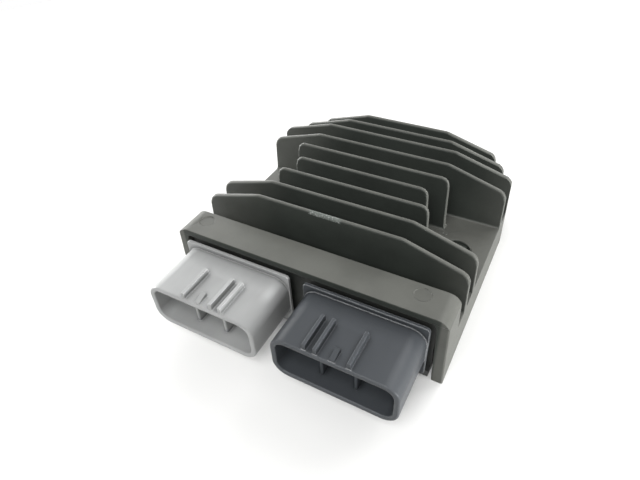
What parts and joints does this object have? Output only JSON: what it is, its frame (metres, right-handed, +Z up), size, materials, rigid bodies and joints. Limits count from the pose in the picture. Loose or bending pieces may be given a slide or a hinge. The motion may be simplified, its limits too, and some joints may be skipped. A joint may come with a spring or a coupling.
{
  "type": "voltage regulator rectifier",
  "caption": "Finned die-cast voltage regulator rectifier with a front shroud around a light and a dark plug socket, bolt-down ears and a resin-filled underside.",
  "frame": {"origin": "centre of the bounding box in plan, in the plane of the flat underside that the unit is bolted down on", "axes": "+Z up from the underside through the fins, -Y out of the plug sockets, +X along the fins from the light socket to the dark socket"},
  "size_m": [0.104, 0.1226, 0.0374],
  "materials": {
    "casting_black": "die casting with a dark satin coating",
    "plastic_light_grey": "moulded, fine texture",
    "plastic_dark_slate": "moulded, fine texture",
    "tinned_brass": "tin plated",
    "board_laminate": "solder mask",
    "device_case": "moulded epoxy",
    "ceramic_tan": "dipped coating",
    "resin_black": "cured potting resin"
  },
  "bodies": {
    "root": {"heat_sink_casting": "casting_black", "stator_socket": "plastic_light_grey", "output_socket": "plastic_dark_slate", "stator_terminal_1": "tinned_brass", "stator_terminal_2": "tinned_brass", "stator_terminal_3": "tinned_brass", "output_terminal_1": "tinned_brass", "output_terminal_2": "tinned_brass", "output_terminal_3": "tinned_brass", "circuit_board": "board_laminate", "power_device_1": "device_case", "power_device_2": "device_case", "power_device_3": "device_case", "power_device_4": "device_case", "power_device_5": "device_case", "power_device_6": "device_case", "control_chip": "device_case", "sense_resistor_1": "device_case", "sense_resistor_2": "device_case", "sense_resistor_3": "device_case", "filter_capacitor_1": "ceramic_tan", "filter_capacitor_2": "ceramic_tan", "potting_resin": "resin_black"}
  },
  "joints": []
}
